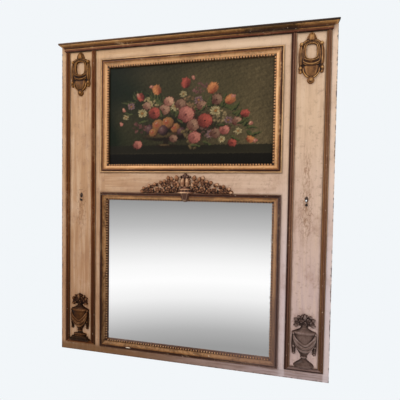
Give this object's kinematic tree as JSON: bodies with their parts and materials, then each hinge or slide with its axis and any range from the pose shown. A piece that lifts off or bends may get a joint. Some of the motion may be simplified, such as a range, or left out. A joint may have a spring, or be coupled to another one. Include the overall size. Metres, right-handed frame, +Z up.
{
  "type": "trumeau mirror",
  "caption": "Tall painted wall panel with a gilt-framed canvas above a gilt-framed mirror, carved pilasters at both sides and a moulded cornice.",
  "frame": {"origin": "on the wall plane, at the middle of the board's bottom edge", "axes": "+X to the viewer's right, +Z up, -Y out of the wall towards the viewer"},
  "size_m": [1.4, 0.086, 1.657],
  "materials": {
    "painted_wood": "aged cream paint on boards, dry matt, worn at the edges",
    "bare_wood": "unpainted, darkened softwood of the back and the stretcher",
    "gilt_wood": "carved wood with worn gilding over a red-brown ground",
    "dark_wood": "near-black stained top edge of the cornice",
    "painted_canvas": "oil painting on linen, thin varnish",
    "silvered_glass": "old silvered glass, slightly foxed at the edge",
    "iron": "dark wrought iron"
  },
  "bodies": {
    "board": {"back_batten_bottom": "bare_wood", "back_batten_middle": "bare_wood", "back_batten_top": "bare_wood", "backboard_cleat_lower": "bare_wood", "backboard_cleat_upper": "bare_wood", "bottom_rail": "painted_wood", "canvas_tacks": "iron", "cartouche_left": "gilt_wood", "cartouche_right": "gilt_wood", "cornice_bed_bead": "gilt_wood", "cornice_cap": "dark_wood", "cornice_crown": "gilt_wood", "crest_centre": "gilt_wood", "crest_spray_left": "gilt_wood", "crest_spray_right": "gilt_wood", "glass_setting_blocks": "bare_wood", "hanging_plates": "iron", "inner_stile_left": "painted_wood", "inner_stile_right": "painted_wood", "middle_rail": "painted_wood", "mirror_backboard_left": "bare_wood", "mirror_backboard_right": "bare_wood", "mirror_frame_bottom": "gilt_wood", "mirror_frame_left": "gilt_wood", "mirror_frame_right": "gilt_wood", "mirror_frame_top": "gilt_wood", "mirror_glass": "silvered_glass", "outer_stile_left": "painted_wood", "outer_stile_right": "painted_wood", "painting_canvas": "painted_canvas", "painting_frame_bottom": "gilt_wood", "painting_frame_left": "gilt_wood", "painting_frame_right": "gilt_wood", "painting_frame_top": "gilt_wood", "pilaster_moulding_left_base": "gilt_wood", "pilaster_moulding_left_inner": "gilt_wood", "pilaster_moulding_left_outer": "gilt_wood", "pilaster_moulding_right_base": "gilt_wood", "pilaster_moulding_right_inner": "gilt_wood", "pilaster_moulding_right_outer": "gilt_wood", "pilaster_panel_left": "painted_wood", "pilaster_panel_right": "painted_wood", "sconce_hooks": "iron", "small_screws": "iron", "stretcher_bottom": "bare_wood", "stretcher_crossbar": "bare_wood", "stretcher_keys": "bare_wood", "stretcher_left": "bare_wood", "stretcher_right": "bare_wood", "stretcher_top": "bare_wood", "top_rail": "painted_wood", "urn_left": "gilt_wood", "urn_plinth_left": "gilt_wood", "urn_right": "gilt_wood", "wood_screws": "iron"},
    "turn_button_lower_left": {"turn_button_lower_left": "bare_wood"},
    "turn_button_lower_right": {"turn_button_lower_right": "bare_wood"},
    "turn_button_upper_left": {"turn_button_upper_left": "bare_wood"},
    "turn_button_upper_right": {"turn_button_upper_right": "bare_wood"}
  },
  "joints": [
    {"name": "turn_lower_left", "type": "hinge", "parent": "board", "child": "turn_button_lower_left", "pos_m": [-0.4561, -0.0187, 1.1104], "axis": [0, 1, 0], "range_deg": [0, 90]},
    {"name": "turn_lower_right", "type": "hinge", "parent": "board", "child": "turn_button_lower_right", "pos_m": [0.4561, -0.0187, 1.1104], "axis": [0, 1, 0], "range_deg": [0, 90]},
    {"name": "turn_upper_left", "type": "hinge", "parent": "board", "child": "turn_button_upper_left", "pos_m": [-0.4561, -0.0187, 1.4335], "axis": [0, 1, 0], "range_deg": [0, 90]},
    {"name": "turn_upper_right", "type": "hinge", "parent": "board", "child": "turn_button_upper_right", "pos_m": [0.4561, -0.0187, 1.4335], "axis": [0, 1, 0], "range_deg": [0, 90]}
  ]
}
